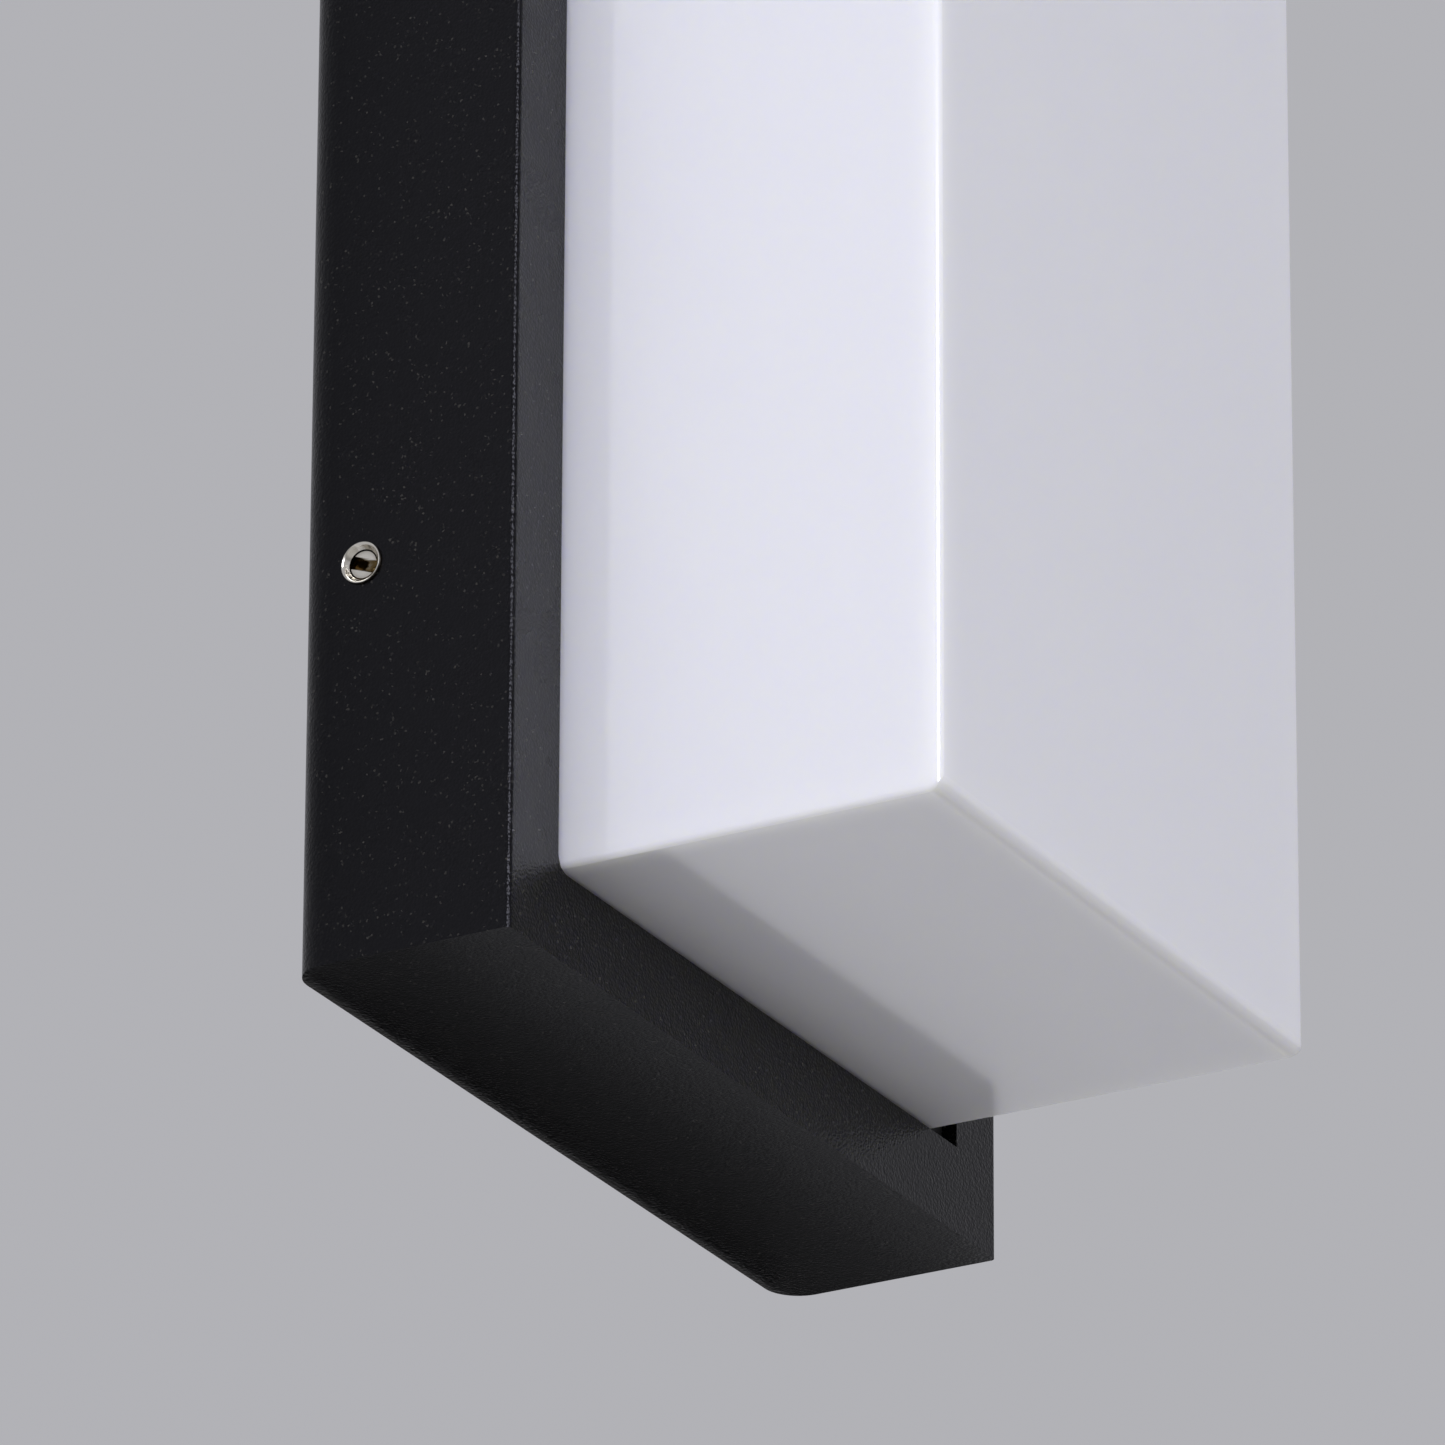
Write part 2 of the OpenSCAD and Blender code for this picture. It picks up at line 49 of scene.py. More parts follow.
MM = 0.001


# ---------- meshes ----------

SHARP_ANGLE = 32           # degrees; edges sharper than this stay crisp


def mesh_piece(name, verts, faces, material, smooth=True):
    """A mesh object made from vertices and faces, with outward normals."""
    mesh = bpy.data.meshes.new(name)
    mesh.from_pydata([tuple(v) for v in verts], [], faces)
    shape = bmesh.new()
    shape.from_mesh(mesh)
    bmesh.ops.remove_doubles(shape, verts=shape.verts, dist=1e-7)
    bmesh.ops.recalc_face_normals(shape, faces=shape.faces)
    shape.to_mesh(mesh)
    shape.free()
    for polygon in mesh.polygons:
        polygon.use_smooth = smooth
    mesh.set_sharp_from_angle(angle=math.radians(SHARP_ANGLE))
    piece = bpy.data.objects.new(name, mesh)
    bpy.context.scene.collection.objects.link(piece)
    mesh.materials.append(material)
    return piece


def place(piece, body, slot, *nodes):
    """Puts a piece on its body and hides the CAD nodes it stands for. The slot argument is not used."""
    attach(piece, body)
    if nodes:
        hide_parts(*nodes)
    return piece


def loft(rings, close_start, close_end):
    """Faces of a skin through rings of equal length, each end closed by one face if asked."""
    count = len(rings[0])
    verts = [v for ring in rings for v in ring]
    faces = []
    for i in range(len(rings) - 1):
        for j in range(count):
            k = (j + 1) % count
            faces.append((i * count + j, i * count + k, (i + 1) * count + k, (i + 1) * count + j))
    if close_start:
        faces.append(tuple(range(count)))
    if close_end:
        faces.append(tuple(range((len(rings) - 1) * count, len(rings) * count)))
    return verts, faces


def rounded_outline(width, height, radius, steps):
    """Points of a rounded rectangle in X and Z, centred on the origin."""
    points = []
    for corner, (sx, sz) in enumerate(((1, 1), (-1, 1), (-1, -1), (1, -1))):
        for step in range(steps + 1):
            angle = math.pi / 2 * (corner + step / steps)
            points.append((sx * (width / 2 - radius) + radius * math.cos(angle),
                           sz * (height / 2 - radius) + radius * math.sin(angle)))
    return points


def lathe(profile, origin, axis, segments=64):
    """Rings of a solid turned from (along, radius) points about an axis through the origin given."""
    turn = Vector((0, 0, 1)).rotation_difference(Vector(axis)).to_matrix()
    rings = []
    for along, radius in profile:
        ring = []
        for i in range(segments):
            angle = 2 * math.pi * i / segments
            spot = Vector((radius * math.cos(angle), radius * math.sin(angle), along))
            ring.append(Vector(origin) + turn @ spot)
        rings.append(ring)
    return rings


def even_normals(piece):
    """Lets the large faces set the shading, so that flats stay flat beside their rounded edges."""
    normals = piece.modifiers.new("normals", "WEIGHTED_NORMAL")
    normals.keep_sharp = True
    normals.weight = 90


def soften(piece, width, segments=2, angle=35):
    """Rounds the sharp edges of a piece by width."""
    bevel = piece.modifiers.new("edges", "BEVEL")
    bevel.width = width
    bevel.segments = segments
    bevel.limit_method = "ANGLE"
    bevel.angle_limit = math.radians(angle)
    bevel.use_clamp_overlap = True
    even_normals(piece)


def cut(piece, cutter):
    """Takes the cutter's volume out of the piece for good."""
    modifier = piece.modifiers.new("cut", "BOOLEAN")
    modifier.operation = "DIFFERENCE"
    modifier.solver = "EXACT"
    modifier.object = cutter
    bpy.context.view_layer.update()
    graph = bpy.context.evaluated_depsgraph_get()
    result = bpy.data.meshes.new_from_object(piece.evaluated_get(graph))
    piece.modifiers.remove(modifier)
    piece.data = result
    bpy.data.objects.remove(cutter)


# ---------- materials ----------

def new_material(name, colour, roughness, metallic=0.0, **settings):
    """A Principled material whose constants sit on the shader's own sockets."""
    material = bpy.data.materials.new(name)
    material.use_nodes = True
    shader = material.node_tree.nodes["Principled BSDF"]
    shader.inputs["Base Color"].default_value = (*colour, 1)
    shader.inputs["Roughness"].default_value = roughness
    shader.inputs["Metallic"].default_value = metallic
    for socket, value in settings.items():
        shader.inputs[socket.replace("_", " ")].default_value = value
    return material


def texture(material, kind, size, **settings):
    """A noise or Voronoi texture in the object's own metres, with features about size across."""
    tree = material.node_tree
    place_node = tree.nodes.get("place") or tree.nodes.new("ShaderNodeTexCoord")
    place_node.name = "place"
    node = tree.nodes.new(kind)
    node.inputs["Scale"].default_value = 1 / size
    for socket, value in settings.items():
        if socket in node.inputs:
            node.inputs[socket].default_value = value
        else:
            setattr(node, socket, value)
    tree.links.new(place_node.outputs["Object"], node.inputs["Vector"])
    return node


def ramp(material, source, low, high, low_at=0.3, high_at=0.7):
    """Maps a texture's grey onto two colours or two greys."""
    tree = material.node_tree
    node = tree.nodes.new("ShaderNodeValToRGB")
    for element, value, at in ((node.color_ramp.elements[0], low, low_at),
                               (node.color_ramp.elements[1], high, high_at)):
        element.color = (*value, 1) if isinstance(value, tuple) else (value, value, value, 1)
        element.position = at
    tree.links.new(source, node.inputs["Fac"])
    return node.outputs["Color"]


def drive(material, socket, source):
    """Feeds a texture into one of the shader's sockets."""
    tree = material.node_tree
    tree.links.new(source, tree.nodes["Principled BSDF"].inputs[socket])


def bump(material, sources, depth):
    """Adds the heights of several textures as one bump, depth metres deep; below zero they are inverted."""
    tree = material.node_tree
    normal = None
    for source, strength in sources:
        node = tree.nodes.new("ShaderNodeBump")
        node.inputs["Distance"].default_value = depth
        node.inputs["Strength"].default_value = abs(strength)
        node.invert = strength < 0
        tree.links.new(source, node.inputs["Height"])
        if normal:
            tree.links.new(normal, node.inputs["Normal"])
        normal = node.outputs["Normal"]
    drive(material, "Normal", normal)


def powder_coat():
    """Black polyester powder coat with a fine, pebbled texture and sparse lighter specks painted as glints.
    """
    material = new_material("powder_coat", (0.002, 0.002, 0.0025), 0.25, IOR=1.28,
                            Specular_Tint=(0.9, 0.89, 1, 1))
    grain = texture(material, "ShaderNodeTexVoronoi", 0.45 * MM)
    lumps = texture(material, "ShaderNodeTexNoise", 1.1 * MM, Detail=1.0)
    glint_cells = texture(material, "ShaderNodeTexVoronoi", 0.3 * MM)
    tone = material.node_tree.nodes.new("ShaderNodeSeparateColor")
    material.node_tree.links.new(glint_cells.outputs["Color"], tone.inputs["Color"])
    cloud = texture(material, "ShaderNodeTexNoise", 9 * MM, Detail=3.0)
    drive(material, "Roughness", ramp(material, cloud.outputs["Fac"], 0.21, 0.29))
    # Painted highlight: lighter dots in the base colour where the cells peak, standing in for grains
    # catching the lamp.
    drive(material, "Base Color", ramp(material, tone.outputs["Red"], (0.001, 0.001, 0.0013),
                                       (0.036, 0.034, 0.03), 0.97, 1.0))
    bump(material, [(grain.outputs["Distance"], -1.0), (lumps.outputs["Fac"], 0.25)], 0.06 * MM)
    return material


def opal():
    """Opal acrylic: white, slightly blue, glossy, and soft where light goes into it."""
    material = new_material("opal", (0.86, 0.87, 0.91), 0.08, IOR=1.6, Subsurface_Weight=1.0,
                            Subsurface_Scale=0.0045, Coat_Weight=1.0, Coat_IOR=1.6,
                            Coat_Roughness=0.12)
    material.node_tree.nodes["Principled BSDF"].inputs["Subsurface Radius"].default_value = (1, 1, 0.72)
    haze = texture(material, "ShaderNodeTexNoise", 30 * MM, Detail=2.0)
    ripple = texture(material, "ShaderNodeTexNoise", 6 * MM, Detail=1.0)
    drive(material, "Base Color", ramp(material, haze.outputs["Fac"], (0.893, 0.888, 0.99),
                                       (0.91, 0.905, 0.995)))
    bump(material, [(ripple.outputs["Fac"], 0.05)], 0.02 * MM)
    return material


# Painted shade: metals take this brown share of their colour where ambient occlusion finds a recess within
# reach.
RECESS_SHADE = (0.15, 0.105, 0.045)
RECESS_SHADE_REACH = 2 * MM


def metal(name, colour, roughness_low, roughness_high, grain_size, depth=0.01 * MM):
    """A metal with fine handling marks, and painted shade, brown, darkening its slots and other recesses.
    """
    material = new_material(name, colour, roughness_low, 1.0)
    recess = material.node_tree.nodes.new("ShaderNodeAmbientOcclusion")
    recess.inputs["Distance"].default_value = RECESS_SHADE_REACH
    shaded_tone = tuple(part * colour[index] for index, part in enumerate(RECESS_SHADE))
    drive(material, "Base Color", ramp(material, recess.outputs["AO"], shaded_tone, colour, 0.6, 0.88))
    marks = texture(material, "ShaderNodeTexNoise", grain_size, Detail=4.0, Roughness=0.6)
    drive(material, "Roughness", ramp(material, marks.outputs["Fac"], roughness_low, roughness_high))
    bump(material, [(marks.outputs["Fac"], 0.3)], depth)
    return material


def galvanised():
    """Zinc-coated sheet with soft spangles."""
    material = new_material("galvanised", (0.6, 0.62, 0.64), 0.35, 1.0)
    spangle = texture(material, "ShaderNodeTexVoronoi", 5 * MM)
    grain = texture(material, "ShaderNodeTexNoise", 0.8 * MM, Detail=3.0)
    tone = material.node_tree.nodes.new("ShaderNodeSeparateColor")
    material.node_tree.links.new(spangle.outputs["Color"], tone.inputs["Color"])
    drive(material, "Base Color", ramp(material, tone.outputs["Red"], (0.50, 0.52, 0.54),
                                       (0.68, 0.70, 0.72), 0.0, 1.0))
    drive(material, "Roughness", ramp(material, tone.outputs["Green"], 0.28, 0.45, 0.0, 1.0))
    bump(material, [(grain.outputs["Fac"], 0.2)], 0.01 * MM)
    return material


def moulded(name, colour, roughness, grain_size=0.5 * MM, depth=0.02 * MM, shift=0.06):
    """A moulded plastic, rubber or smooth coat with a fine grain and a slight drift in colour."""
    material = new_material(name, colour, roughness)
    grain = texture(material, "ShaderNodeTexNoise", grain_size, Detail=3.0)
    drift = texture(material, "ShaderNodeTexNoise", 12 * MM, Detail=2.0)
    dark = tuple(c * (1 - shift) for c in colour)
    light = tuple(min(1, c * (1 + shift)) for c in colour)
    drive(material, "Base Color", ramp(material, drift.outputs["Fac"], dark, light))
    drive(material, "Roughness", ramp(material, grain.outputs["Fac"], roughness - 0.05,
                                      min(1, roughness + 0.07)))
    bump(material, [(grain.outputs["Fac"], 0.35)], depth)
    return material


MATERIALS = {
    "black_powder_coat": powder_coat(),
    "opal_diffuser": opal(),
    "galvanised_steel": galvanised(),
    "stainless_steel": metal("stainless", (0.72, 0.69, 0.63), 0.12, 0.24, 0.6 * MM),
    "brass": metal("brass", (0.80, 0.58, 0.25), 0.22, 0.34, 0.6 * MM),
    "black_rubber": moulded("rubber", (0.014, 0.014, 0.015), 0.6),
    "foam_rubber": moulded("foam", (0.022, 0.022, 0.023), 0.85, 0.35 * MM, 0.08 * MM, 0.2),
    "white_coated_steel": moulded("white_coat", (0.80, 0.80, 0.79), 0.38, 0.9 * MM),
    "white_board": moulded("solder_mask", (0.83, 0.84, 0.84), 0.3, 0.3 * MM, 0.01 * MM, 0.02),
    "led_phosphor": moulded("phosphor", (0.85, 0.62, 0.12), 0.45, 0.1 * MM),
    "white_plastic": moulded("white_plastic", (0.78, 0.78, 0.76), 0.42),
    "grey_plastic": moulded("grey_plastic", (0.42, 0.43, 0.44), 0.45),
    "green_board": moulded("green_board", (0.015, 0.13, 0.05), 0.3, 0.4 * MM),
    "yellow_tape": moulded("yellow_tape", (0.78, 0.56, 0.06), 0.35),
    "capacitor_sleeve": moulded("sleeve", (0.02, 0.03, 0.06), 0.25),
    "ivory_plastic": moulded("ivory_plastic", (0.76, 0.72, 0.60), 0.4),
    "lead_brown": moulded("lead_brown", (0.14, 0.055, 0.02), 0.38),
    "lead_blue": moulded("lead_blue", (0.03, 0.09, 0.42), 0.38),
    "lead_red": moulded("lead_red", (0.5, 0.015, 0.012), 0.38),
    "lead_black": moulded("lead_black", (0.015, 0.015, 0.015), 0.38),
    "lead_green": moulded("lead_green", (0.22, 0.42, 0.03), 0.38),
}


HOUSING_EDGE = 0.35 * MM    # widths of the softened edges
FITTING_EDGE = 0.2 * MM


def dress_cad_nodes():
    """Gives each CAD node the finish that the record names for it, with softened edges."""
    for row in frame["record"]["subparts"]:
        node = NODES[row["node"]]
        node.data.materials.clear()
        node.data.materials.append(MATERIALS[row["material_slot"]])
    soften(NODES["housing"], HOUSING_EDGE, 3)
    for name in ("wall_bracket", "gear_plate", "driver_case", "driver_lid", "terminal_block",
                 "cable_grommet", "plate_grommet", "led_board", "led_connector", "earth_screw"):
        soften(NODES[name], FITTING_EDGE)


# ---------- diffuser ----------

DIFFUSER_WALL = 2.5 * MM
CORNER_RADIUS = 0.8 * MM   # seen from the front
UPRIGHT_RADIUS = 1.0 * MM  # of the front's upright edges
LEVEL_RADIUS = 2.2 * MM    # of the front's level edges
INNER_RADIUS = 0.6 * MM
LEAST_CORNER = 0.1 * MM    # what stays of a corner's radius as the level edges draw in
CORNER_DRAW = 0.7          # how far it draws in, as a share of the level edges
REAR_STEP = 0.4 * MM       # from the rim to the next ring
EDGE_STEPS = 12


def rounding(depth, radius):
    """How far a rounded edge has drawn in, depth behind the front."""
    if depth >= radius:
        return 0.0
    return radius - math.sqrt(radius ** 2 - (radius - depth) ** 2)


def box_skin(low, high, inset, corner, upright, level):
    """Rings of one skin of the diffuser, from its open rear end to its front face."""
    centre_x = (low.x + high.x) / 2
    centre_z = (low.z + high.z) / 2
    width = high.x - low.x - 2 * inset
    height = high.z - low.z - 2 * inset
    front = low.y + inset
    rear = high.y - front
    depths = [rear, rear - REAR_STEP, rear / 2, 4 * level]
    for radius in sorted({upright, level}, reverse=True):
        depths += [radius * (1 - math.sin(math.pi / 2 * step / EDGE_STEPS))
                   for step in range(EDGE_STEPS + 1)]
    rings = []
    for depth in sorted(set(depths), reverse=True):
        in_x = rounding(depth, upright)
        in_z = rounding(depth, level)
        outline = rounded_outline(width - 2 * in_x, height - 2 * in_z,
                                  max(corner - in_z * CORNER_DRAW, LEAST_CORNER), EDGE_STEPS)
        rings.append([Vector((centre_x + x, front + depth, centre_z + z)) for x, z in outline])
    return rings


def make_diffuser():
    """The opal box: outer skin, inner skin and the flat rim that joins them at the rear."""
    low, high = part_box("diffuser")
    outer = box_skin(low, high, 0, CORNER_RADIUS, UPRIGHT_RADIUS, LEVEL_RADIUS)
    inner = box_skin(low, high, DIFFUSER_WALL, INNER_RADIUS, INNER_RADIUS, INNER_RADIUS)
    verts, faces = loft(outer[::-1] + inner, True, True)
    diffuser = mesh_piece("opal_diffuser", verts, faces, MATERIALS["opal_diffuser"])
    even_normals(diffuser)
    place(diffuser, "cover", "opal_diffuser", "diffuser")


# ---------- side screws and bushes ----------

THREAD_PITCH = 0.7 * MM
THREAD_DEPTH = 0.18 * MM
POINT_CHAMFER = 0.35 * MM  # at the screw's inner end
SLOT_HALF_WIDTH = 0.75 * MM
SLOT_DEPTH = 1.1 * MM
SLOT_CHAMFER = 0.12 * MM
SLOT_HALF_LENGTH = 3 * MM  # beyond the screw on both sides, so the slot runs right across
SLOT_TURN = 20             # degrees
BUSH_LENGTH = 8.5 * MM
BUSH_WALL = 0.6 * MM
FLANGE_THICKNESS = 0.5 * MM
MOUTH_DEPTH = 0.8 * MM
RUNNING_PLAY = 0.05 * MM   # between the screw and its bush


def threaded(start, end, crest, root):
    """Profile points of a thread from start to end along its axis, between two radii."""
    points = []
    for turn in range(int((end - start) / THREAD_PITCH)):
        at = start + turn * THREAD_PITCH
        points.append((at, crest))
        points.append((at + THREAD_PITCH / 2, root))
    points.append((end, crest))
    return points


def slot_tool(side):
    """A cutter for a driver slot with chamfered edges, its mouth at the origin and facing side."""
    half, deep, flare = SLOT_HALF_WIDTH, SLOT_DEPTH, SLOT_CHAMFER
    section = [(-deep, -half), (-flare, -half), (0, -half - flare), (flare, -half - flare),
               (flare, half + flare), (0, half + flare), (-flare, half), (-deep, half)]
    rings = [[Vector((side * along, y, across)) for along, across in section]
             for y in (-SLOT_HALF_LENGTH, SLOT_HALF_LENGTH)]
    verts, faces = loft(rings, True, True)
    return mesh_piece("slot_tool", verts, faces, MATERIALS["stainless_steel"], smooth=False)


def turned(name, profile, centre, side):
    """A stainless piece turned about the X axis through centre, its profile running out to one side."""
    verts, faces = loft(lathe(profile, (0, centre.y, centre.z), (side, 0, 0)), False, False)
    return mesh_piece(name, verts, faces, MATERIALS["stainless_steel"])


def make_set_screw(name, side, body):
    """A slotted set screw on one side of the housing."""
    low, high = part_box(name + "_set_screw")
    centre = (low + high) / 2
    radius = (high.z - low.z) / 2
    tip = min(abs(low.x), abs(high.x))
    head = max(abs(low.x), abs(high.x))
    thread_start = tip + 2 * POINT_CHAMFER
    thread_end = head - POINT_CHAMFER
    profile = [(tip, 0), (tip, radius * 0.5), (thread_start, radius - THREAD_DEPTH)]
    profile += threaded(thread_start, thread_end, radius, radius - THREAD_DEPTH)
    profile += [(thread_end, radius - 0.02 * MM), (head - 0.1 * MM, radius - 0.04 * MM),
                (head, radius - 0.15 * MM), (head, 0)]
    screw = turned(name + "_slotted_screw", profile, centre, side)
    cutter = slot_tool(side)
    cutter.matrix_world = (Matrix.Translation((side * head, centre.y, centre.z))
                           @ Matrix.Rotation(math.radians(SLOT_TURN), 4, "X"))
    cut(screw, cutter)
    place(screw, body, "stainless_steel", name + "_set_screw")


def make_bush(name, side):
    """The flanged bush that the set screw turns in, with a rounded rim and a conical mouth."""
    low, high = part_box("screw_bushes")
    screw_low, screw_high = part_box(name + "_set_screw")
    centre = (screw_low + screw_high) / 2
    screw_radius = (screw_high.z - screw_low.z) / 2
    flange = (high.z - low.z) / 2
    face = high.x
    shoulder = face - FLANGE_THICKNESS
    inner_end = face - BUSH_LENGTH
    outside = screw_radius + BUSH_WALL
    bore = screw_radius + RUNNING_PLAY
    profile = [(inner_end, bore), (inner_end, outside), (shoulder, outside),
               (shoulder, flange - 0.1 * MM), (shoulder + 0.1 * MM, flange),
               (shoulder + 0.35 * MM, flange - 0.02 * MM), (face - 0.04 * MM, flange - 0.07 * MM),
               (face, flange - 0.15 * MM), (face - 0.04 * MM, flange - 0.24 * MM),
               (face - 0.3 * MM, bore + 0.38 * MM), (face - 0.42 * MM, bore + 0.32 * MM),
               (face - MOUTH_DEPTH, bore)]
    profile += threaded(inner_end, face - MOUTH_DEPTH - 0.2 * MM, bore, bore + THREAD_DEPTH)[::-1]
    bush = turned(name + "_flanged_bush", profile, centre, side)
    place(bush, "lamp", "stainless_steel", "screw_bushes")


def make_side_screws():
    """The set screws and bushes on the left and the right."""
    for name, side in (("left", -1), ("right", 1)):
        make_set_screw(name, side, name + "_screw")
        make_bush(name, side)


# ---------- leads ----------

BEND_STEPS = 8
BEND_SHARE = 0.45          # the most of a straight stretch that a bend takes up


def tube(name, points, radius, bend, material, sides=16):
    """A round lead along a list of points, with its corners turned on smooth curves."""
    path = [Vector(points[0])]
    for before, corner, after in zip(points, points[1:], points[2:]):
        corner = Vector(corner)
        to_start = Vector(before) - corner
        to_end = Vector(after) - corner
        reach = min(bend, to_start.length * BEND_SHARE, to_end.length * BEND_SHARE)
        start = corner + to_start.normalized() * reach
        end = corner + to_end.normalized() * reach
        for step in range(BEND_STEPS + 1):
            t = step / BEND_STEPS
            path.append(start * (1 - t) ** 2 + corner * 2 * t * (1 - t) + end * t ** 2)
    path.append(Vector(points[-1]))
    rings = []
    side_way = Vector((1, 0.3, 0.2))   # any direction that no lead runs in
    for index, spot in enumerate(path):
        ahead = (path[min(index + 1, len(path) - 1)] - path[max(index - 1, 0)]).normalized()
        side_way = (side_way - ahead * side_way.dot(ahead)).normalized()
        other = ahead.cross(side_way)
        rings.append([spot + (side_way * math.cos(a) + other * math.sin(a)) * radius
                      for a in (2 * math.pi * i / sides for i in range(sides))])
    verts, faces = loft(rings, True, True)
    return mesh_piece(name, verts, faces, material)


LEAD_RADIUS = 1.0 * MM
LEAD_BEND = 5 * MM
LEAD_ROUTES = {            # millimetres
    "brown": [(-12, -16, -87), (-12, -16, -77), (-43, -16, -77), (-43, -16, -6), (-25, -16, -6)],
    "blue": [(12, -16, -87), (12, -16, -81), (12, -12, -77), (-40, -12, -77), (-40, -12, -12),
             (-25, -12, -12)],
    "black": [(10.7, -14, 80), (10.7, -14, 106), (10.7, -27.8, 106), (10.7, -27.8, 96)],
    "red": [(13.3, -14, 80), (13.3, -14, 106), (13.3, -27.8, 106), (13.3, -27.8, 96)],
    "green": [(0, -16, -87), (0, -16, -74), (20, -16, -74), (20, -21.3, -74), (20, -21.3, -69)],
}


def make_lead(colour, slot, node):
    """One insulated lead on its route inside the lamp."""
    route = [tuple(value * MM for value in point) for point in LEAD_ROUTES[colour]]
    lead = tube(colour + "_lead", route, LEAD_RADIUS, LEAD_BEND, MATERIALS["lead_" + colour])
    place(lead, "lamp", slot, node)


def make_earth_lug():
    """The ring terminal on the earth lead's end, with its crimped barrel."""
    end = Vector(LEAD_ROUTES["green"][-1]) * MM
    plate_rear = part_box("gear_plate")[1].y
    screw_low, screw_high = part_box("plate_earth_screw")
    middle = (screw_low + screw_high) / 2
    hole, outside, thick, round_off = 1.65 * MM, 3.6 * MM, 1 * MM, 0.1 * MM
    ring = [(0, hole), (0, outside - round_off), (round_off, outside), (thick - round_off, outside),
            (thick, outside - round_off), (thick, hole), (0, hole)]
    verts, faces = loft(lathe(ring, (middle.x, plate_rear, middle.z), (0, 1, 0)), False, False)
    place(mesh_piece("earth_lug_ring", verts, faces, MATERIALS["galvanised_steel"]), "lamp",
          "galvanised_steel", "earth_lead")
    wide, crimped = 1.12 * MM, 1.04 * MM
    barrel = [(-2.6 * MM, LEAD_RADIUS), (-2.6 * MM, wide), (-1.6 * MM, wide), (-1.3 * MM, crimped),
              (-0.8 * MM, crimped), (-0.5 * MM, wide), (0.1 * MM, 1.1 * MM), (0.2 * MM, 0)]
    verts, faces = loft(lathe(barrel, end, (0, 0, 1), 32), True, False)
    place(mesh_piece("earth_lug_barrel", verts, faces, MATERIALS["galvanised_steel"]), "lamp",
          "galvanised_steel", "earth_lead")


def make_leads():
    """Mains leads to the driver, LED leads from it, and the gear plate's earth lead."""
    make_lead("brown", "lead_brown", "mains_leads")
    make_lead("blue", "lead_brown", "mains_leads")
    make_lead("black", "lead_red", "led_leads")
    make_lead("red", "lead_red", "led_leads")
    make_lead("green", "lead_green", "earth_lead")
    make_earth_lug()


# ---------- LED packages ----------

LED_COLUMNS = 3
LED_ROWS = 10
LED_SIZE = Vector((3.5, 0.8, 2.8)) * MM
LED_RIM = 0.3 * MM
LED_WELL = 0.2 * MM


def led_places():
    """Centres of the LED packages' front faces, evenly spaced in the CAD node's box."""
    low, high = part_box("led_chips")
    step_x = (high.x - low.x - LED_SIZE.x) / (LED_COLUMNS - 1)
    step_z = (high.z - low.z - LED_SIZE.z) / (LED_ROWS - 1)
    for column in range(LED_COLUMNS):
        for row in range(LED_ROWS):
            yield Vector((low.x + LED_SIZE.x / 2 + step_x * column, low.y,
                          low.z + LED_SIZE.z / 2 + step_z * row))


def led_piece(name, profile, material, slot):
    """One mesh of every LED's shell or pad, from steps of (behind the front, drawn in, corner)."""
    verts, faces = [], []
    for spot in led_places():
        rings = [[spot + Vector((x, behind, z)) for x, z in
                  rounded_outline(LED_SIZE.x - 2 * drawn_in, LED_SIZE.z - 2 * drawn_in, corner, 4)]
                 for behind, drawn_in, corner in profile]
        more_verts, more_faces = loft(rings, True, True)
        faces += [tuple(index + len(verts) for index in face) for face in more_faces]
        verts += more_verts
    piece = mesh_piece(name, verts, faces, material)
    place(piece, "lamp", slot, "led_chips")


def make_leds():
    """White packages with a well of yellow phosphor in each."""
    shell = [(LED_SIZE.y, 0, 0.15 * MM), (0.1 * MM, 0, 0.15 * MM), (0, 0.08 * MM, 0.2 * MM),
             (0, LED_RIM, 0.5 * MM), (LED_WELL, LED_RIM + 0.1 * MM, 0.5 * MM)]
    led_piece("led_packages", shell, MATERIALS["white_plastic"], "led_phosphor")
    pad = [(LED_WELL * 1.5, LED_RIM + 0.05 * MM, 0.5 * MM),
           (LED_WELL * 0.5, LED_RIM + 0.04 * MM, 0.5 * MM),
           (LED_WELL * 0.35, LED_RIM + 0.3 * MM, 0.4 * MM),
           (LED_WELL * 0.3, LED_RIM + 0.7 * MM, 0.2 * MM)]
    led_piece("led_phosphor_pads", pad, MATERIALS["led_phosphor"], "led_phosphor")


# ---------- stage ----------

CAMERA_AZIMUTH = 61.12     # degrees from +Y towards +X, the way the camera looks
CAMERA_RISE = 23.49        # degrees that it looks up
CAMERA_ROLL = 0.27
CAMERA_DISTANCE = 1.708
CAMERA_LENS = 330.2        # millimetres, on a sensor of this width
SENSOR_WIDTH = 36
AIM_RIGHT = -10.5 * MM     # what it looks at, on the housing's front face
AIM_ABOVE_LOWER_END = 48.4 * MM


def make_camera():
    """A long lens that looks up at the lantern's lower part from its left, with no shift."""
    low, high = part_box("housing")
    azimuth = math.radians(CAMERA_AZIMUTH)
    rise = math.radians(CAMERA_RISE)
    level = Vector((math.sin(azimuth), math.cos(azimuth), 0))
    ahead = level * math.cos(rise) + Vector((0, 0, math.sin(rise)))
    right = Vector((math.cos(azimuth), -math.sin(azimuth), 0))
    up = right.cross(ahead)
    turn = Matrix((right, up, -ahead)).transposed() @ Matrix.Rotation(math.radians(CAMERA_ROLL), 3, "Z")
    aim = Vector((AIM_RIGHT, low.y, low.z + AIM_ABOVE_LOWER_END))
    data = bpy.data.cameras.new("camera")
    data.lens = CAMERA_LENS
    data.sensor_width = SENSOR_WIDTH
    data.clip_start = 50 * MM
    camera = bpy.data.objects.new("camera", data)
    camera.matrix_world = Matrix.Translation(aim - ahead * CAMERA_DISTANCE) @ turn.to_4x4()
    bpy.context.scene.collection.objects.link(camera)
    bpy.context.scene.camera = camera


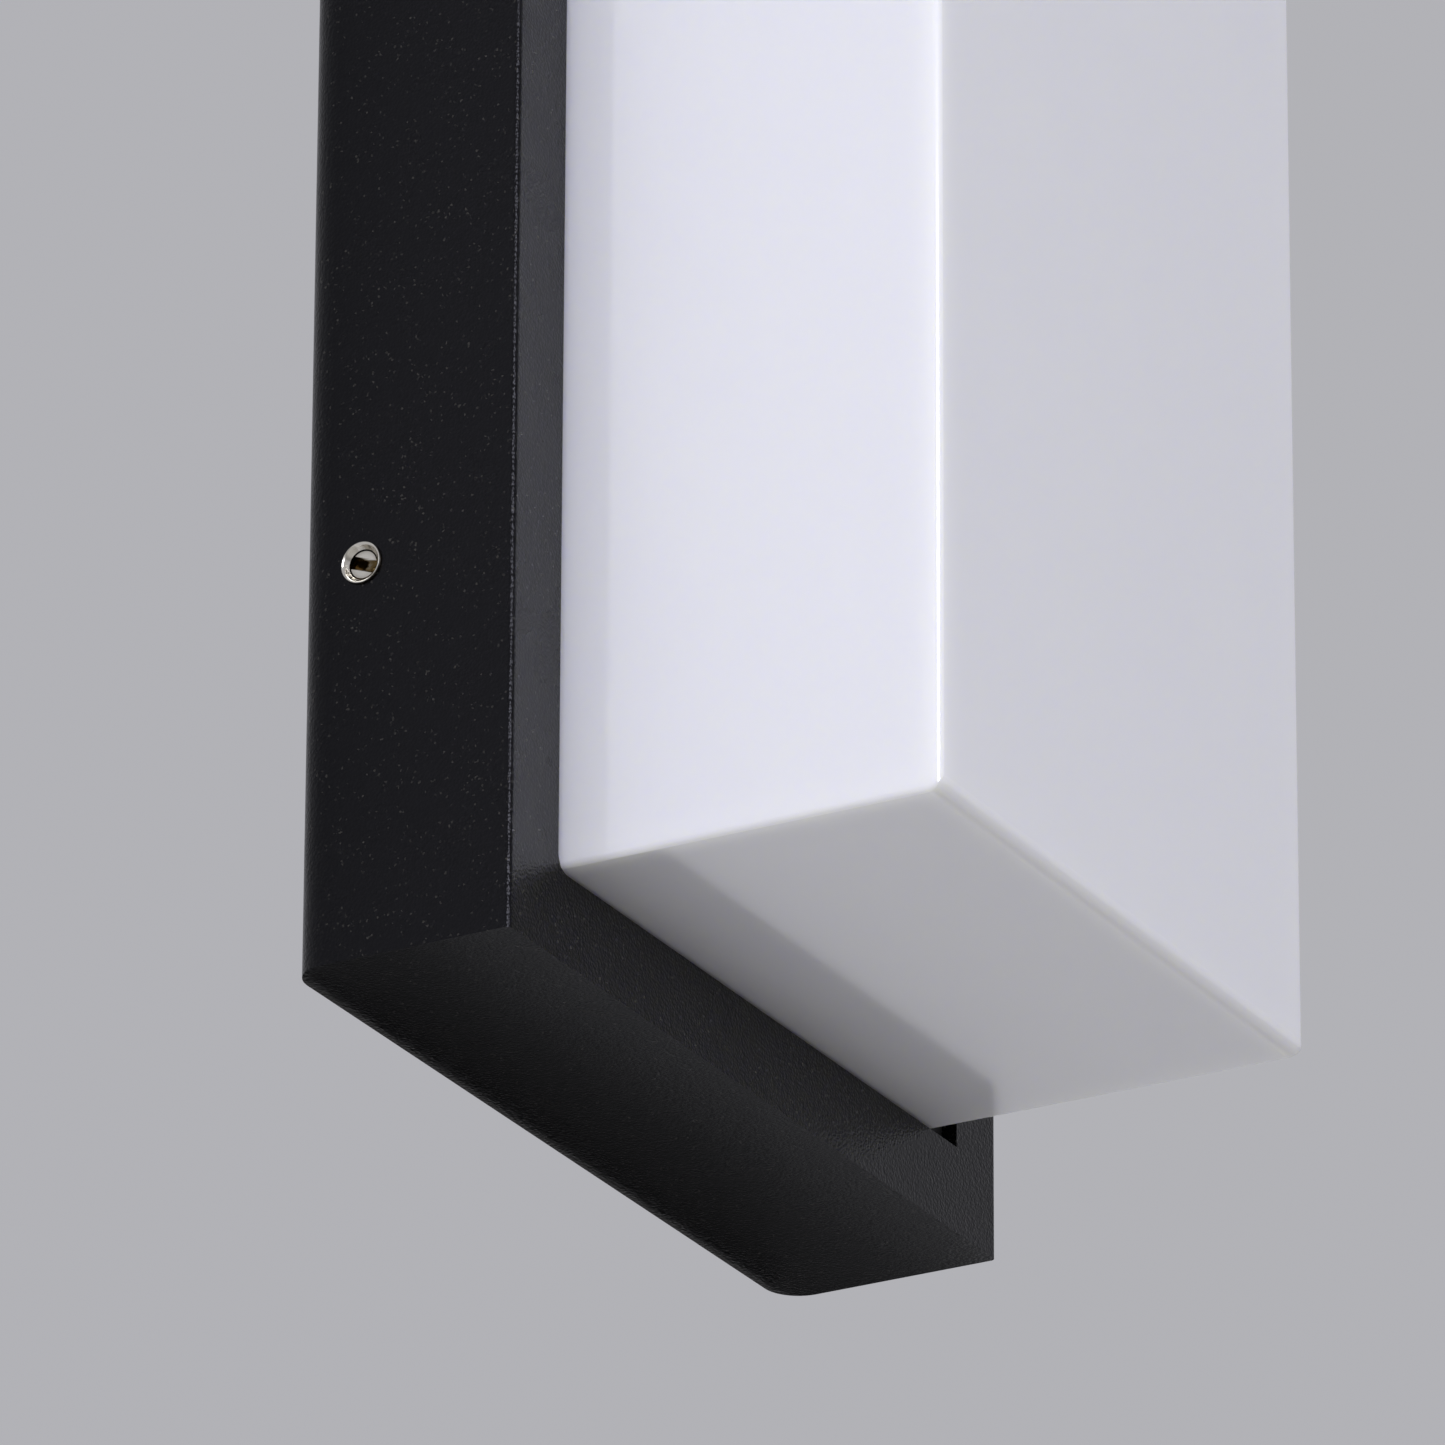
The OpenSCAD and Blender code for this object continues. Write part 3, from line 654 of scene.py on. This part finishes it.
def area_light(name, spot, aim, size, power, colour=(1, 1, 1)):
    """A square soft light at a spot, facing what it lights."""
    data = bpy.data.lights.new(name, "AREA")
    data.shape = "SQUARE"
    data.size = size
    data.energy = power
    data.color = colour
    light = bpy.data.objects.new(name, data)
    light.matrix_world = (Matrix.Translation(spot)
                          @ (Vector(spot) - Vector(aim)).to_track_quat("Z", "Y").to_matrix().to_4x4())
    bpy.context.scene.collection.objects.link(light)


FLOOR_DROP = 0.9
FLOOR_REACH = 6.0
CARD_REACH = 1.2
CARD_GAP = 0.3 * MM        # round the housing and in front of the wall's plane
# The dark strip below is a painted shadow: the wall's shade under the housing, seen only in reflections.
SHADOW_STRIP_SIDES = (10 * MM, 60 * MM)      # past the housing on the left and the right
SHADOW_STRIP_BELOW = (1 * MM, 27 * MM)       # from the housing's lower end
SHADOW_STRIP_PROUD = 1 * MM        # in front of the wall's plane
KEY_PLACE = (-1.42, -1.3, 0.35)
KEY_AIM = (0, 0, -0.05)
KEY_SIZE = 0.9
KEY_POWER = 24.9
KEY_COLOUR = (0.925, 0.94, 1)
AROUND_COLOUR = (0.945, 0.945, 1, 1)
AROUND_STRENGTH = 0.47


def studio_piece(name, verts, faces, colour):
    """A flat matt piece of the studio."""
    matt = new_material(name, colour, 0.9)
    piece = mesh_piece(name, verts, faces, matt, smooth=False)
    return piece


def make_floor(low):
    """A pale floor well below the lantern."""
    reach, level = FLOOR_REACH, low.z - FLOOR_DROP
    verts = [(-reach, -reach, level), (reach, -reach, level), (reach, reach, level),
             (-reach, reach, level)]
    studio_piece("stage_floor", verts, [(0, 1, 2, 3)], (0.52, 0.508, 0.475))


def make_card(low, high):
    """A pale card in the wall's plane round the housing, which the camera doesn't see."""
    left, lower = low.x - CARD_GAP, low.z - CARD_GAP
    right, upper = high.x + CARD_GAP, high.z + CARD_GAP
    verts = [(x, -CARD_GAP, z) for x, z in (
        (-CARD_REACH, -CARD_REACH), (CARD_REACH, -CARD_REACH), (CARD_REACH, CARD_REACH),
        (-CARD_REACH, CARD_REACH), (left, lower), (right, lower), (right, upper), (left, upper))]
    faces = [(0, 1, 5, 4), (1, 2, 6, 5), (2, 3, 7, 6), (3, 0, 4, 7)]
    card = studio_piece("stage_card", verts, faces, (0.76, 0.76, 0.76))
    card.visible_camera = False


def make_painted_shadow(low, high):
    """A dark strip under the housing, which the camera doesn't see: a painted shadow of the wall's shade
    below the lamp, for the lower strip's reflection.
    """
    left, right = low.x - SHADOW_STRIP_SIDES[0], high.x + SHADOW_STRIP_SIDES[1]
    upper, lower = low.z - SHADOW_STRIP_BELOW[0], low.z - SHADOW_STRIP_BELOW[1]
    verts = [(left, -SHADOW_STRIP_PROUD, lower), (right, -SHADOW_STRIP_PROUD, lower), (right, -SHADOW_STRIP_PROUD, upper),
             (left, -SHADOW_STRIP_PROUD, upper)]
    shadow_strip = studio_piece("stage_painted_shadow", verts, [(0, 1, 2, 3)], (0.2, 0.2, 0.2))
    shadow_strip.visible_camera = False


def make_stage():
    """The floor, the card and the painted shadow strip that the lantern reflects, the soft light all round
    and one soft lamp.
    """
    low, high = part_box("housing")
    make_floor(low)
    make_card(low, high)
    make_painted_shadow(low, high)
    world = bpy.data.worlds.new("studio")
    world.use_nodes = True
    background = world.node_tree.nodes["Background"]
    background.inputs["Color"].default_value = AROUND_COLOUR
    background.inputs["Strength"].default_value = AROUND_STRENGTH
    bpy.context.scene.world = world
    area_light("key", KEY_PLACE, KEY_AIM, KEY_SIZE, KEY_POWER, KEY_COLOUR)
    bpy.context.scene.view_settings.view_transform = "Standard"


make_camera()
dress_cad_nodes()
make_diffuser()
make_side_screws()
make_leads()
make_leds()
make_stage()
